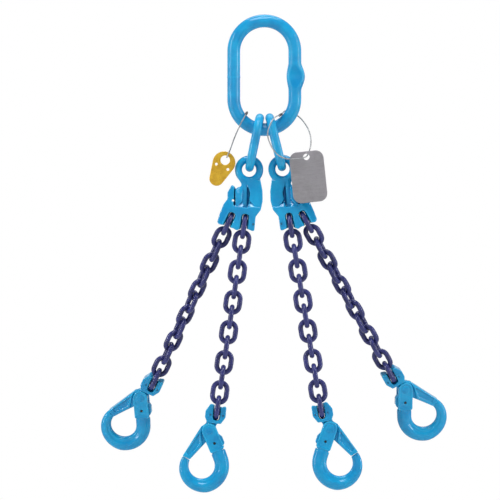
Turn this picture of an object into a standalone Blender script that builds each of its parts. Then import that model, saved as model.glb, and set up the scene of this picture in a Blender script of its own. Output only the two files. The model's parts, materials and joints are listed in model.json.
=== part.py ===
"""Four leg chain sling for 8 mm chain, with two-leg shortening clutches and self-locking hooks.

The origin is the highest point of the master link's opening, where the crane hook seats. +Z is up,
+X is right and -Y is the front. Lengths are written in millimetres and scaled by MM.
"""
import math

import bmesh
import bpy
from mathutils import Matrix, Vector

MM = 0.001
GAP = 0.3 * MM                      # clearance between pieces that touch
LEFT, RIGHT = -1, 1

# Chain. The link proportions follow from the bar.
BAR = 8 * MM
PITCH = 3 * BAR
LINK_WIDTH = 3.7 * BAR
LINK_COUNT = 13
LINK_WELD = 0.5 * MM                # how far fused neighbours sink into each other
GROUPS = (3, 3, 4, 3)               # links in each fused run, from the clutch down
CROWN_STEPS = 6

# Master link
MASTER_BAR = 20.5 * MM
MASTER_LENGTH = 151 * MM            # inside
MASTER_WIDTH = 76 * MM              # inside
SWELL_LENGTH = 42 * MM
SWELL_WIDEN = 0.42
SWELL_FLATTEN = 0.25
SWELL_SHIFT = 1.4 * MM              # outwards
SWELL_DROP = 2 * MM                 # the swelling's middle below the link's middle

# Sublinks
SUB_BAR = 14 * MM
SUB_LENGTH = 66 * MM
SUB_WIDTH = 34 * MM
SUB_GAP = 0.45 * MM                 # to the master link, so that it swings past the facets
SUB_SEAT = {LEFT: 8.6 * MM, RIGHT: 10.1 * MM}
SUB_TILT = {LEFT: math.radians(11.6), RIGHT: math.radians(14)}

# Shortening clutches. Measures are from the eye, with +X outwards.
EYE_RADIUS = 22.3 * MM
EYE_HOLE = 11 * MM
EYE_THICK = 15 * MM
CLUTCH_TILT = {LEFT: math.radians(0.5), RIGHT: math.radians(3.5)}
CLUTCH_DEPTH = 26 * MM
SOCKET_INNER = Vector((6.5, 0, -83.5)) * MM
SOCKET_OUTER = Vector((30.5, 0, -80.5)) * MM
INNER_SOCKET_TILT = math.radians(7)
OUTER_SOCKET_TILT = math.radians(25)
CLEVIS_SLOT = 10 * MM
CLEVIS_HEAD = 14 * MM               # slot's end beyond the load pin
SHARED_PIN_REACH = 10.8 * MM        # load pin's end inside the ear between the two sockets
POCKET_WIDTH = 9.6 * MM
POCKET_BACK = 3 * MM                # the pockets' blind end, from the clutch's middle plane
INNER_POCKET = (25 * MM, 58 * MM)   # above the load pin, along the socket
LOBE_EDGE = 21.3 * MM               # the outer pocket's inner wall
PIN_RADIUS = 5 * MM

# Hooks. Measures are from the main pivot, with +X towards the bowl.
HOOK_PIN = Vector((-9, 0, 31)) * MM
HOOK_SLOT = 12 * MM
HOOK_EAR_BACK = 9 * MM
HOOK_EAR_FRONT = 10.5 * MM
HOOK_DEPTH = 20 * MM
LUG_THICK = 10.3 * MM               # latch eye between the cheeks
CHEEK_GAP = 10.9 * MM
CHEEK_RADIUS = 11.8 * MM
SHANK_ANGLE = math.radians(28.5)
FORK_LENGTH = 34 * MM
BOWL_CENTRE = Vector((6.4, 0, -55.9)) * MM
BOWL_RADIUS = 20.5 * MM
BOWL_THICK = 23.6 * MM
TIP_THICK = 13.4 * MM
TIP_ANGLE = math.radians(20)
BOWL_FLATTEN = 0.84                 # front-to-back over in-plane thickness
PIVOT_RADIUS = 5 * MM
TRIGGER_PIN_RADIUS = 1.75 * MM
TRIGGER_DROP = 21.6 * MM
TRIGGER_PROUD = 3.4 * MM

# Legs: side, inner or outer socket, then in degrees the tilt in the front plane, the lean to the
# back, the twist of the chain and how much more upright the hook hangs than its chain
LEGS = {
    "outer_left": dict(side=LEFT, outer=True, tilt=25.1, lean=19, twist=25, hook_turn=0),
    "inner_left": dict(side=LEFT, outer=False, tilt=8.3, lean=0, twist=0, hook_turn=2.5),
    "inner_right": dict(side=RIGHT, outer=False, tilt=9.4, lean=0, twist=0, hook_turn=0),
    "outer_right": dict(side=RIGHT, outer=True, tilt=29.1, lean=19, twist=25, hook_turn=0),
}
TWIST_STEP = 20                     # extra turn of every second link in a twisted leg, degrees

# Tags and their wires
WIRE = 2 * MM
FERRULE_LENGTH = {"id_tag": 8 * MM, "inspection_tag": 6 * MM}
FERRULE_RADIUS = 2.1 * MM
ID_TAG_SIZE = Vector((54, 0, 81)) * MM
ID_TAG_CORNER = 13 * MM
TAG_THICK = 1.6 * MM
ID_TAG_HOLE = Vector((66.1, -21, -204.7)) * MM
ID_TAG_HOLE_RADIUS = 5 * MM
ID_TAG_TILT = math.radians(6)
INSPECTION_HOLE = Vector((-61.7, -9, -209.7)) * MM
INSPECTION_HOLE_RADIUS = 7.4 * MM
INSPECTION_TILT = math.radians(25)
INSPECTION_WIDE = 18 * MM
INSPECTION_NARROW = 11.5 * MM
INSPECTION_SPAN = 27.5 * MM         # between the centres of the egg's two ends

BLUE = ((0.02, 0.28, 0.62), 0.0, 0.28)
CHAIN_BLUE = ((0.045, 0.04, 0.17), 0.2, 0.4)
STEEL = ((0.32, 0.32, 0.34), 0.9, 0.45)
DARK = ((0.05, 0.05, 0.06), 0.6, 0.5)
GOLD = ((0.62, 0.42, 0.05), 0.5, 0.45)


def clear_scene():
    for old in list(bpy.data.objects):
        bpy.data.objects.remove(old)


def new_collection(name):
    made = bpy.data.collections.new(name)
    bpy.context.scene.collection.children.link(made)
    return made


clear_scene()
PARTS = new_collection("four_leg_chain_sling")
CUTTERS = new_collection("cutters")


def material(name, look):
    """One Principled material per piece."""
    made = bpy.data.materials.new(name)
    made.use_nodes = True
    shader = made.node_tree.nodes["Principled BSDF"]
    colour, metallic, roughness = look
    shader.inputs["Base Color"].default_value = (*colour, 1)
    shader.inputs["Metallic"].default_value = metallic
    shader.inputs["Roughness"].default_value = roughness
    return made


# ---- meshes -------------------------------------------------------------------------------------

def mesh_from_object(source):
    """A welded mesh in world coordinates of what an object evaluates to; the object goes."""
    bpy.context.view_layer.update()
    graph = bpy.context.evaluated_depsgraph_get()
    mesh = bpy.data.meshes.new_from_object(source.evaluated_get(graph))
    mesh.transform(source.matrix_world)
    bpy.data.objects.remove(source)
    form = bmesh.new()
    form.from_mesh(mesh)
    bmesh.ops.remove_doubles(form, verts=form.verts, dist=1e-6)
    bmesh.ops.recalc_face_normals(form, faces=form.faces)
    form.to_mesh(mesh)
    form.free()
    return mesh


def rod(points, radii, closed=False, resolution=2):
    """A bar along points, with a radius at each of them."""
    curve = bpy.data.curves.new("rod", "CURVE")
    curve.dimensions = "3D"
    curve.twist_mode = "MINIMUM"
    curve.bevel_depth = 1.0
    curve.bevel_resolution = resolution
    curve.use_fill_caps = not closed
    spline = curve.splines.new("POLY")
    spline.points.add(len(points) - 1)
    spline.use_cyclic_u = closed
    for knot, place, radius in zip(spline.points, points, radii):
        knot.co = (*place, 1)
        knot.radius = radius
    made = bpy.data.objects.new("rod", curve)
    PARTS.objects.link(made)
    return mesh_from_object(made)


def plate(outline, low, high, holes=()):
    """An outline in the XZ plane, made solid from y=low to y=high; holes are further outlines."""
    curve = bpy.data.curves.new("plate", "CURVE")
    curve.dimensions = "2D"
    curve.fill_mode = "BOTH"
    curve.extrude = (high - low) / 2
    for loop in (outline, *holes):
        spline = curve.splines.new("POLY")
        spline.points.add(len(loop) - 1)
        spline.use_cyclic_u = True
        for knot, (x, z) in zip(spline.points, loop):
            knot.co = (x, z, 0, 1)
    made = bpy.data.objects.new("plate", curve)
    PARTS.objects.link(made)
    made.matrix_world = Matrix.Translation((0, (low + high) / 2, 0)) @ Matrix.Rotation(math.pi / 2, 4, "X")
    return mesh_from_object(made)


def cylinder(radius, low, high, axis="Y", centre=(0, 0, 0), sides=24):
    """A round bar from low to high along an axis, in a mesh."""
    form = bmesh.new()
    bmesh.ops.create_cone(form, cap_ends=True, segments=sides, radius1=radius, radius2=radius,
                          depth=high - low)
    turn = {"X": Matrix.Rotation(math.pi / 2, 4, "Y"), "Y": Matrix.Rotation(-math.pi / 2, 4, "X"),
            "Z": Matrix.Identity(4)}[axis]
    along = turn @ Vector((0, 0, (low + high) / 2))
    form.transform(Matrix.Translation(Vector(centre) + along) @ turn)
    mesh = bpy.data.meshes.new("cylinder")
    form.to_mesh(mesh)
    form.free()
    return mesh


def box(low, high):
    form = bmesh.new()
    bmesh.ops.create_cube(form, size=1)
    low, high = Vector(low), Vector(high)
    size = high - low
    form.transform(Matrix.Translation((low + high) / 2) @ Matrix.Diagonal((*size, 1)))
    mesh = bpy.data.meshes.new("box")
    form.to_mesh(mesh)
    form.free()
    return mesh


def moved(mesh, matrix):
    mesh.transform(matrix)
    return mesh


def arc(centre, radius, start, stop, steps):
    """Points on an arc in the XZ plane, as (x, z) pairs; angles in degrees."""
    spread = [math.radians(start + (stop - start) * i / steps) for i in range(steps + 1)]
    return [(centre[0] + radius * math.cos(a), centre[1] + radius * math.sin(a)) for a in spread]


def circle(centre, radius, steps=24):
    return arc(centre, radius, 0, 360 - 360 / steps, steps - 1)


def smooth_route(stops, steps, closed):
    """A Catmull-Rom curve through the stops."""
    count = len(stops)
    spans = count if closed else count - 1
    pick = (lambda i: stops[i % count]) if closed else (lambda i: stops[max(0, min(count - 1, i))])
    route = []
    for i in range(spans):
        a, b, c, d = (Vector(pick(i + k)) for k in (-1, 0, 1, 2))
        for j in range(steps):
            t = j / steps
            route.append(0.5 * (2 * b + (c - a) * t + (2 * a - 5 * b + 4 * c - d) * t ** 2
                                + (3 * b - a - 3 * c + d) * t ** 3))
    if not closed:
        route.append(Vector(stops[-1]))
    return route


# ---- nodes --------------------------------------------------------------------------------------

def node(name, mesh, look, frame=Matrix.Identity(4), side=RIGHT, joins=(), cuts=(), soft=True):
    """A named piece at a frame. Left-hand pieces are mirrored before they are placed."""
    made = bpy.data.objects.new(name, mesh)
    mesh.name = name
    PARTS.objects.link(made)
    made.matrix_world = frame
    mesh.materials.clear()
    mesh.materials.append(material(name, look))
    for kind, tools in (("UNION", joins), ("DIFFERENCE", cuts)):
        for index, tool in enumerate(tools):
            cutter = bpy.data.objects.new(f"{name}_{kind.lower()}_{index}", tool)
            CUTTERS.objects.link(cutter)
            cutter.matrix_world = frame
            cutter.hide_render = True
            cutter.display_type = "WIRE"
            if side == LEFT:
                mirror(tool)
            step = made.modifiers.new(cutter.name, "BOOLEAN")
            step.object = cutter
            step.operation = kind
            step.solver = "EXACT"
    if side == LEFT:
        mirror(mesh)
    if soft:
        for face in mesh.polygons:
            face.use_smooth = True
    return made


def mirror(mesh):
    mesh.transform(Matrix.Scale(-1, 4, (1, 0, 0)))
    mesh.flip_normals()


# ---- links --------------------------------------------------------------------------------------

def oval(top, bottom, width, bar, steps):
    """Centre line of a link in the XZ plane: top and bottom are the inside half lengths."""
    radius = (width - bar) / 2
    crown = arc((0, top + bar / 2 - radius), radius, 0, 180, steps)
    foot = arc((0, radius - bottom - bar / 2), radius, 180, 360, steps)
    return [Vector((x, 0, z)) for x, z in crown + foot]


def swell(mesh):
    """Widens and flattens the right limb of the master link where it carries its marking pad."""
    limb = (MASTER_WIDTH + MASTER_BAR) / 2
    for point in mesh.vertices:
        if point.co.x < limb - MASTER_BAR:
            continue
        reach = abs(point.co.z + MASTER_LENGTH / 2 + SWELL_DROP) / (SWELL_LENGTH / 2)
        share = max(0.0, math.cos(min(reach, 1) * math.pi / 2))
        point.co.x = limb + (point.co.x - limb) * (1 + SWELL_WIDEN * share) + SWELL_SHIFT * share
        point.co.y *= 1 - SWELL_FLATTEN * share


def build_master():
    half = MASTER_LENGTH / 2
    line = oval(half, half, MASTER_WIDTH + 2 * MASTER_BAR, MASTER_BAR, 12)
    limb_top, limb_foot = line[-1], line[0]
    limb = [limb_top.lerp(limb_foot, share) for share in (0.12, 0.3, 0.42, 0.54, 0.66, 0.84)]
    line += limb
    mesh = rod(line, [MASTER_BAR / 2] * len(line), closed=True, resolution=4)
    moved(mesh, Matrix.Translation((0, 0, -half)))
    swell(mesh)
    return node("master_link", mesh, BLUE)


def sublink_frame(side):
    """Origin at the sublink's inside top, where it rests on the master link, +Z along its length."""
    reach = SUB_SEAT[side]
    arc_radius = MASTER_WIDTH / 2
    seat_z = arc_radius - MASTER_LENGTH - math.sqrt(arc_radius ** 2 - reach ** 2)
    lean = Matrix.Rotation(-side * SUB_TILT[side], 4, "Y")
    return Matrix.Translation((side * reach, 0, seat_z + SUB_GAP)) @ lean


def build_sublink(side, name):
    half = SUB_LENGTH / 2
    line = oval(half, half, SUB_WIDTH + 2 * SUB_BAR, SUB_BAR, 8)
    mesh = rod(line, [SUB_BAR / 2] * len(line), closed=True, resolution=3)
    edge_on = Matrix.Translation((0, 0, -half)) @ Matrix.Rotation(math.pi / 2, 4, "Z")
    return node(name, moved(mesh, edge_on), BLUE, sublink_frame(side))


# ---- clutches -----------------------------------------------------------------------------------

def clutch_frame(side):
    """Origin at the middle of the clutch's eye."""
    drop = SUB_LENGTH + EYE_HOLE - GAP
    eye = sublink_frame(side) @ Vector((0, 0, -drop))
    return Matrix.Translation(eye) @ Matrix.Rotation(-side * CLUTCH_TILT[side], 4, "Y")


def socket_frame(outer):
    """Load pin of a socket inside the clutch, right-hand version, +Z up the chain's line."""
    place = SOCKET_OUTER if outer else SOCKET_INNER
    tilt = OUTER_SOCKET_TILT if outer else INNER_SOCKET_TILT
    return Matrix.Translation(place) @ Matrix.Rotation(-tilt, 4, "Y")


def millimetres(*pairs):
    return [(x * MM, z * MM) for x, z in pairs]


def pocket_cut(outer):
    """Blind shortening pocket: a straight groove above the inner socket, a wedge beside the horn."""
    deep = 40 * MM
    if outer:
        wedge = [(LOBE_EDGE, -22 * MM), (LOBE_EDGE, -57 * MM), (27.6 * MM, -57 * MM), (24 * MM, -22 * MM)]
        return plate(wedge, -deep, POCKET_BACK)
    half = POCKET_WIDTH / 2
    low, high = INNER_POCKET
    return moved(box((-half, -deep, low), (half, POCKET_BACK, high)), socket_frame(False))


def socket_cuts(outer):
    """Chain slot, load pin bore (blind in the ear that both sockets share) and shortening pocket."""
    frame = socket_frame(outer)
    half = CLEVIS_SLOT / 2
    deep = 40 * MM
    slot = box((-half, -deep, -deep), (half, deep, CLEVIS_HEAD))
    blind = SHARED_PIN_REACH + GAP
    low, high = (-blind, deep) if outer else (-deep, blind)
    bore = cylinder(PIN_RADIUS + GAP, low, high, "X", sides=16)
    return [moved(slot, frame), moved(bore, frame), pocket_cut(outer)]


def build_clutch(side, name):
    half = CLUTCH_DEPTH / 2
    body = plate(millimetres((-17.5, -13), (-21.5, -33), (-22, -49), (-18.4, -63.5), (-11, -74), (-9.2, -97),
                             (-6, -97.8), (2, -94), (12, -93.5), (19, -96.5), (26, -91.5), (26, -60),
                             (21, -29), (12, -25.5), (19, -12)), -half, half)
    eye_bar = (EYE_RADIUS - EYE_HOLE) / 2
    eye_line = [Vector((x, 0, z)) for x, z in circle((0, 0), EYE_HOLE + eye_bar, 24)]
    eye = rod(eye_line, [eye_bar] * len(eye_line), closed=True, resolution=2)
    eye.transform(Matrix.Diagonal((1, EYE_THICK / (2 * eye_bar), 1, 1)))
    outer = socket_frame(True)
    wing_half = half - 0.4 * MM
    wing = plate(millimetres((-10, -8), (4, -8), (13, -12), (17, -9), (20.5, 18), (22.8, 40), (20.8, 53),
                             (14.5, 52), (-8, 30), (-14, 20)), -wing_half, wing_half)
    cuts = socket_cuts(False) + socket_cuts(True)
    return node(name, body, BLUE, clutch_frame(side), side, joins=[eye, moved(wing, outer)], cuts=cuts)


def leg_socket(leg):
    """World frame of the load pin that carries a leg: X along the pin, Z up the leg's own line."""
    side = leg["side"]
    pin = (SOCKET_OUTER if leg["outer"] else SOCKET_INNER).copy()
    pin.x *= side
    place = clutch_frame(side) @ pin
    turn = Matrix.Rotation(-side * math.radians(leg["tilt"]), 4, "Y")
    lean = Matrix.Rotation(math.radians(leg["lean"]), 4, "X")
    return Matrix.Translation(place) @ turn @ lean


def build_clutch_pin(leg_name, leg):
    open_end = 14.6 * MM
    low, high = (-SHARED_PIN_REACH, open_end) if leg["outer"] else (-open_end, SHARED_PIN_REACH)
    mesh = cylinder(PIN_RADIUS, low, high, "X", sides=16)
    frame = clutch_frame(leg["side"])
    moved(mesh, socket_frame(leg["outer"]))
    return node(f"clutch_pin_{leg_name}", mesh, DARK, frame, leg["side"])


# ---- chain --------------------------------------------------------------------------------------

PIN_TO_LINK = PITCH / 2 - PIN_RADIUS - GAP   # from a load pin's axis to the middle of the link on it


def link_turn(leg, index):
    """Turn of a link about the leg's line. Even links stand edge-on, odd ones face the front."""
    twist = leg["twist"] * math.sin(math.pi * index / (LINK_COUNT - 1))
    if index % 2 and leg["twist"]:
        twist += TWIST_STEP
    flat = 0 if index % 2 else 90
    return math.radians(flat - leg["side"] * twist)


def link_frame(leg, index):
    fall = PIN_TO_LINK + index * PITCH
    spin = Matrix.Rotation(link_turn(leg, index), 4, "Z")
    return leg_socket(leg) @ Matrix.Translation((0, 0, -fall)) @ spin


def link_mesh(index, first, last):
    """One link. Fused neighbours overlap; the ends of a run keep clear of the next run."""
    fused = PITCH / 2 - LINK_WELD / 2
    free = PITCH / 2 + GAP
    top = PITCH / 2 if index == 0 else free if first else fused
    bottom = PITCH / 2 if index == LINK_COUNT - 1 else free if last else fused
    line = oval(top, bottom, LINK_WIDTH, BAR, CROWN_STEPS)
    return rod(line, [BAR / 2] * len(line), closed=True, resolution=1)


def build_chain(leg_name, leg):
    start = 0
    for number, size in enumerate(GROUPS, 1):
        frame = leg_socket(leg)
        links = []
        for index in range(start, start + size):
            mesh = link_mesh(index, index == start, index == start + size - 1)
            links.append(moved(mesh, frame.inverted() @ link_frame(leg, index)))
        node(f"chain_{leg_name}_{number}", links[0], CHAIN_BLUE, frame, joins=links[1:])
        start += size


# ---- hooks --------------------------------------------------------------------------------------

def hook_frame(leg):
    """Origin on the hook's main pivot, +Z up the leg's line or nearer to upright."""
    fall = 2 * PIN_TO_LINK + (LINK_COUNT - 1) * PITCH
    pin = Vector(HOOK_PIN)
    pin.x *= leg["side"]
    turn = Matrix.Rotation(leg["side"] * math.radians(leg["hook_turn"]), 4, "Y")
    return leg_socket(leg) @ Matrix.Translation((0, 0, -fall)) @ turn @ Matrix.Translation(-pin)


def shank_frame():
    """In the hook: Z runs up the shank to the pivot and -X is the hook's back."""
    return Matrix.Rotation(SHANK_ANGLE, 4, "Y")


def bowl_route():
    """Centre line and radius of the hook from inside the fork, round the bowl, to the tip."""
    shank = shank_frame()
    points = [shank @ Vector((0, 0, -z)) for z in (29 * MM, 38 * MM)]
    radii = [BOWL_THICK / 2 * 0.98] * 2
    start = math.pi - SHANK_ANGLE
    stop = 2 * math.pi + TIP_ANGLE
    taper_from = 1.4 * math.pi
    steps = 20
    for step in range(steps + 1):
        angle = start + (stop - start) * step / steps
        share = max(0.0, (angle - taper_from) / (stop - taper_from))
        thick = BOWL_THICK + (TIP_THICK - BOWL_THICK) * share
        line = BOWL_RADIUS + thick / 2
        points.append(BOWL_CENTRE + Vector((math.cos(angle), 0, math.sin(angle))) * line)
        radii.append(thick / 2)
    return points, radii


def build_hook_body(leg_name, leg):
    bowl = rod(*bowl_route(), resolution=3)
    bowl.transform(Matrix.Diagonal((1, BOWL_FLATTEN, 1, 1)))
    half = HOOK_DEPTH / 2
    outline = arc((0, 0), CHEEK_RADIUS, 0, 180, 10)
    outline += [(-CHEEK_RADIUS, -FORK_LENGTH), (CHEEK_RADIUS, -FORK_LENGTH)]
    shank = shank_frame()
    fork = moved(plate(outline, -half, half), shank)
    slot = box((-30 * MM, -CHEEK_GAP / 2, -FORK_LENGTH - 2 * MM), (30 * MM, CHEEK_GAP / 2, 30 * MM))
    pivot = cylinder(PIVOT_RADIUS + GAP, -20 * MM, 20 * MM, sides=20)
    small = cylinder(TRIGGER_PIN_RADIUS + GAP, -20 * MM, 20 * MM, centre=(0, 0, -TRIGGER_DROP), sides=12)
    cuts = [moved(slot, shank), pivot, moved(small, shank)]
    return node(f"hook_{leg_name}", bowl, BLUE, hook_frame(leg), leg["side"], joins=[fork], cuts=cuts)


def tip_point(radius, lift):
    """A point above the hook's tip, at a radius from the middle of the bowl."""
    out = Vector((math.cos(TIP_ANGLE), 0, math.sin(TIP_ANGLE)))
    up = Vector((-math.sin(TIP_ANGLE), 0, math.cos(TIP_ANGLE)))
    place = BOWL_CENTRE + out * radius + up * lift
    return place.x, place.z


def build_latch(leg_name, leg):
    half = LUG_THICK / 2
    inner = tip_point(BOWL_RADIUS + 0.6 * MM, 2 * GAP)
    outer = tip_point(BOWL_RADIUS + TIP_THICK, 2 * GAP)
    step = 0.15 * MM
    lug = cylinder(11.4 * MM, -half, half, sides=24)
    web_half = half - step
    web = plate(millimetres((0, 10), (8, 8)) + [outer, inner] + millimetres((2.5, -17.5), (-3, -6)),
                -web_half, web_half)
    arm = plate(millimetres((13.2, 3.2)) + [outer, inner] + millimetres((8.6, -22.6), (12.8, -7)),
                -7.4 * MM, 7.4 * MM)
    neck_half = half - 2 * step
    neck = plate(millimetres((-12, 15.5), (-9, 5), (7, 5), (6, 15.5)), -neck_half, neck_half)
    deep = HOOK_DEPTH / 2
    pin_x, pin_z = HOOK_PIN.x, HOOK_PIN.z
    back, front = pin_x - HOOK_SLOT / 2 - HOOK_EAR_BACK, pin_x + HOOK_SLOT / 2 + HOOK_EAR_FRONT
    yoke = plate([(back + 2 * MM, pin_z + 11 * MM), (back, pin_z + 8 * MM), (back, 23 * MM),
                  (-16 * MM, 12.6 * MM), (4 * MM, 12.6 * MM), (front, 22 * MM),
                  (front, pin_z + 8 * MM), (front - 3 * MM, pin_z + 12 * MM)], -deep, deep)
    groove = HOOK_SLOT / 2
    slot = box((pin_x - groove, -30 * MM, 17 * MM), (pin_x + groove, 30 * MM, 60 * MM))
    bore = cylinder(PIN_RADIUS + GAP, -30 * MM, 30 * MM, "X", HOOK_PIN, 16)
    pivot = cylinder(PIVOT_RADIUS + GAP, -20 * MM, 20 * MM, sides=20)
    recess = millimetres((15.5, -5), (32.5, -38.5), (26.5, -43), (12.5, -22.5))
    hollows = [plate(recess, 4.4 * MM, 12 * MM), plate(recess, -12 * MM, -4.4 * MM)]
    return node(f"latch_{leg_name}", lug, BLUE, hook_frame(leg), leg["side"],
                joins=[web, arm, neck, yoke], cuts=[slot, bore, pivot] + hollows)


def build_hook_pins(leg_name, leg):
    side = leg["side"]
    frame = hook_frame(leg)
    proud = HOOK_DEPTH / 2 + 0.8 * MM
    node(f"hook_pivot_{leg_name}", cylinder(PIVOT_RADIUS, -proud, proud, sides=20), BLUE, frame, side)
    flush = HOOK_DEPTH / 2 - 0.2 * MM
    pin = cylinder(TRIGGER_PIN_RADIUS, -flush, flush, centre=(0, 0, -TRIGGER_DROP), sides=12)
    node(f"trigger_pin_{leg_name}", moved(pin, shank_frame()), DARK, frame, side)
    inset = 0.3 * MM
    low = inset - HOOK_SLOT / 2 - HOOK_EAR_BACK
    high = HOOK_SLOT / 2 + HOOK_EAR_FRONT - inset
    load = cylinder(PIN_RADIUS, low, high, "X", HOOK_PIN, 16)
    node(f"load_pin_{leg_name}", load, DARK, frame, side)


def build_trigger(leg_name, leg):
    """Release lever: its nose sits under the latch eye and its back edge stands proud of the shank."""
    back = -(CHEEK_RADIUS + TRIGGER_PROUD)
    outline = [(2 * MM, -14 * MM), (2.5 * MM, -25 * MM), (-3 * MM, -28 * MM), (back + 2 * MM, -29 * MM),
               (back, -26 * MM), (back, -16 * MM), (-11.6 * MM, -9.5 * MM), (-9 * MM, -10 * MM)]
    half = LUG_THICK / 2 - 0.2 * MM
    lever = plate(outline, -half, half)
    bore = cylinder(TRIGGER_PIN_RADIUS + GAP, -20 * MM, 20 * MM, centre=(0, 0, -TRIGGER_DROP), sides=12)
    shank = shank_frame()
    return node(f"trigger_{leg_name}", moved(lever, shank), BLUE, hook_frame(leg), leg["side"],
                cuts=[moved(bore, shank)])


def build_trigger_spring(leg_name, leg):
    """A small compression spring between the trigger's foot and the bottom of the fork's slot."""
    turns, radius, top, bottom = 3, 2.6 * MM, -30.2 * MM, -35.2 * MM
    steps = turns * 8
    points = []
    for step in range(steps + 1):
        angle = 2 * math.pi * turns * step / steps
        z = top + (bottom - top) * step / steps
        points.append(Vector((-7.5 * MM + radius * math.cos(angle), radius * math.sin(angle), z)))
    coil = rod(points, [0.45 * MM] * len(points), resolution=1)
    return node(f"trigger_spring_{leg_name}", moved(coil, shank_frame()), STEEL, hook_frame(leg), leg["side"])


# ---- tags ---------------------------------------------------------------------------------------

def id_wire_route():
    """A round loop round the master link's right bend, hand-laid in front of the right sublink."""
    stops = [(25.6, -9, -138.2), (17.2, -21.5, -142), (9.8, -32, -152.5), (5.2, -37, -167), (7.3, -37, -180.5),
             (14, -35, -193.5), (21, -33, -201.5), (31.5, -30, -207), (44, -27.5, -208.6), (56, -26, -207.4),
             (62.3, -24.5, -205.8), (66.3, -20.5, -204), (69.5, -16, -198.5), (73, -10.5, -187),
             (73.2, -3, -173), (68.6, 5, -159), (60.5, 12, -146.5), (52, 16, -138.5), (43.5, 16, -132),
             (35, 9, -131), (30.5, 0.5, -133)]
    return smooth_route([Vector(stop) * MM for stop in stops], 3, True)


def inspection_wire_route():
    """A narrow loop over the master link's left bend and through the inspection tag's hole."""
    stops = [(-28.2, -7.5, -136), (-31.5, -12.6, -142), (-37, -14.6, -152), (-46, -14, -172),
             (-53, -13.4, -190.5), (-57.2, -12.8, -201), (-59.2, -9, -205.4), (-57.6, -5.2, -202.5),
             (-53.5, -3, -192), (-46.5, 6, -172), (-37.5, 14.4, -153), (-30, 12.6, -139), (-26.8, 2, -133)]
    return smooth_route([Vector(stop) * MM for stop in stops], 3, True)


def build_wire(tag, route):
    """A closed wire and the crimped sleeve round its two ends, at the route's start."""
    node(f"{tag}_wire", rod(route, [WIRE / 2] * len(route), closed=True, resolution=2), STEEL)
    along = (route[1] - route[-1]).normalized()
    frame = Matrix.Translation(route[0]) @ along.to_track_quat("Z", "Y").to_matrix().to_4x4()
    half = FERRULE_LENGTH[tag] / 2
    sleeve = cylinder(FERRULE_RADIUS, -half, half, "Z", sides=12)
    bore = cylinder(WIRE / 2 + 2 * GAP, -2 * half, 2 * half, "Z", sides=12)
    node(f"{tag}_ferrule", sleeve, DARK, frame, cuts=[bore])


def build_id_tag():
    """Plate with rounded corners, hung from the hole near its top left corner."""
    half_x, half_z, corner = ID_TAG_SIZE.x / 2, ID_TAG_SIZE.z / 2, ID_TAG_CORNER
    outline = []
    for sign_x, sign_z, start in ((1, 1, 0), (-1, 1, 90), (-1, -1, 180), (1, -1, 270)):
        centre = (sign_x * (half_x - corner), sign_z * (half_z - corner))
        outline += arc(centre, corner, start, start + 90, 5)
    hole_at = (0, half_z - 9 * MM)
    mesh = plate(outline, -TAG_THICK / 2, TAG_THICK / 2, [circle(hole_at, ID_TAG_HOLE_RADIUS, 16)])
    moved(mesh, Matrix.Translation((-hole_at[0], 0, -hole_at[1])))
    frame = Matrix.Translation(ID_TAG_HOLE) @ Matrix.Rotation(-ID_TAG_TILT, 4, "Y")
    return node("id_tag", mesh, STEEL, frame, soft=False)


def build_inspection_tag():
    """Egg-shaped plate with one large hole and two small ones."""
    slope = math.degrees(math.asin((INSPECTION_WIDE - INSPECTION_NARROW) / INSPECTION_SPAN))
    outline = arc((0, 0), INSPECTION_WIDE, -slope, 180 + slope, 14)
    outline += arc((0, -INSPECTION_SPAN), INSPECTION_NARROW, 180 + slope, 360 - slope, 8)
    holes = [circle((0, 4.5 * MM), INSPECTION_HOLE_RADIUS, 18)]
    holes += [circle((sign * 10 * MM, -7 * MM), 2.2 * MM, 10) for sign in (-1, 1)]
    mesh = plate(outline, -TAG_THICK / 2, TAG_THICK / 2, holes)
    moved(mesh, Matrix.Translation((0, 0, -4.5 * MM)))
    frame = Matrix.Translation(INSPECTION_HOLE) @ Matrix.Rotation(INSPECTION_TILT, 4, "Y")
    return node("inspection_tag", mesh, GOLD, frame, soft=False)


# ---- joints -------------------------------------------------------------------------------------

def direction(frame, axis):
    return (frame.to_3x3() @ Vector(axis)).normalized()


def chain_joint(leg, number):
    """Where a fused run hangs: on a load pin, or bar on bar below the run above it."""
    if number == 1:
        outer = leg["outer"]
        tilt = OUTER_SOCKET_TILT if outer else INNER_SOCKET_TILT
        pin = clutch_frame(leg["side"]) @ Matrix.Rotation(-leg["side"] * tilt, 4, "Y")
        return leg_socket(leg).translation, direction(pin, (1, 0, 0))
    lower = sum(GROUPS[:number - 1])
    crown = (PITCH + BAR) / 2
    if number == len(GROUPS):
        frame = link_frame(leg, lower)
        return frame @ Vector((0, 0, crown)), direction(frame, (1, 0, 0))
    frame = link_frame(leg, lower - 1)
    return frame @ Vector((0, 0, -crown)), direction(frame, (1, 0, 0))


def hook_joints(leg_name, leg):
    """The hook's head swings on the load pin, the hook opens on its pivot, the trigger on its own."""
    side = leg["side"]
    frame = hook_frame(leg)
    load = Vector((side * HOOK_PIN.x, 0, HOOK_PIN.z))
    small = Matrix.Rotation(side * SHANK_ANGLE, 4, "Y") @ Vector((0, 0, -TRIGGER_DROP))
    opening = direction(frame, (0, side, 0))
    return {
        f"latch_{leg_name}": ([f"latch_{leg_name}", f"load_pin_{leg_name}", f"hook_pivot_{leg_name}"],
                              frame @ load, direction(frame, (1, 0, 0))),
        f"hook_{leg_name}": ([f"hook_{leg_name}", f"trigger_pin_{leg_name}", f"trigger_spring_{leg_name}"],
                             frame.translation, opening),
        f"trigger_{leg_name}": ([f"trigger_{leg_name}"], frame @ small, -opening),
    }


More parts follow.
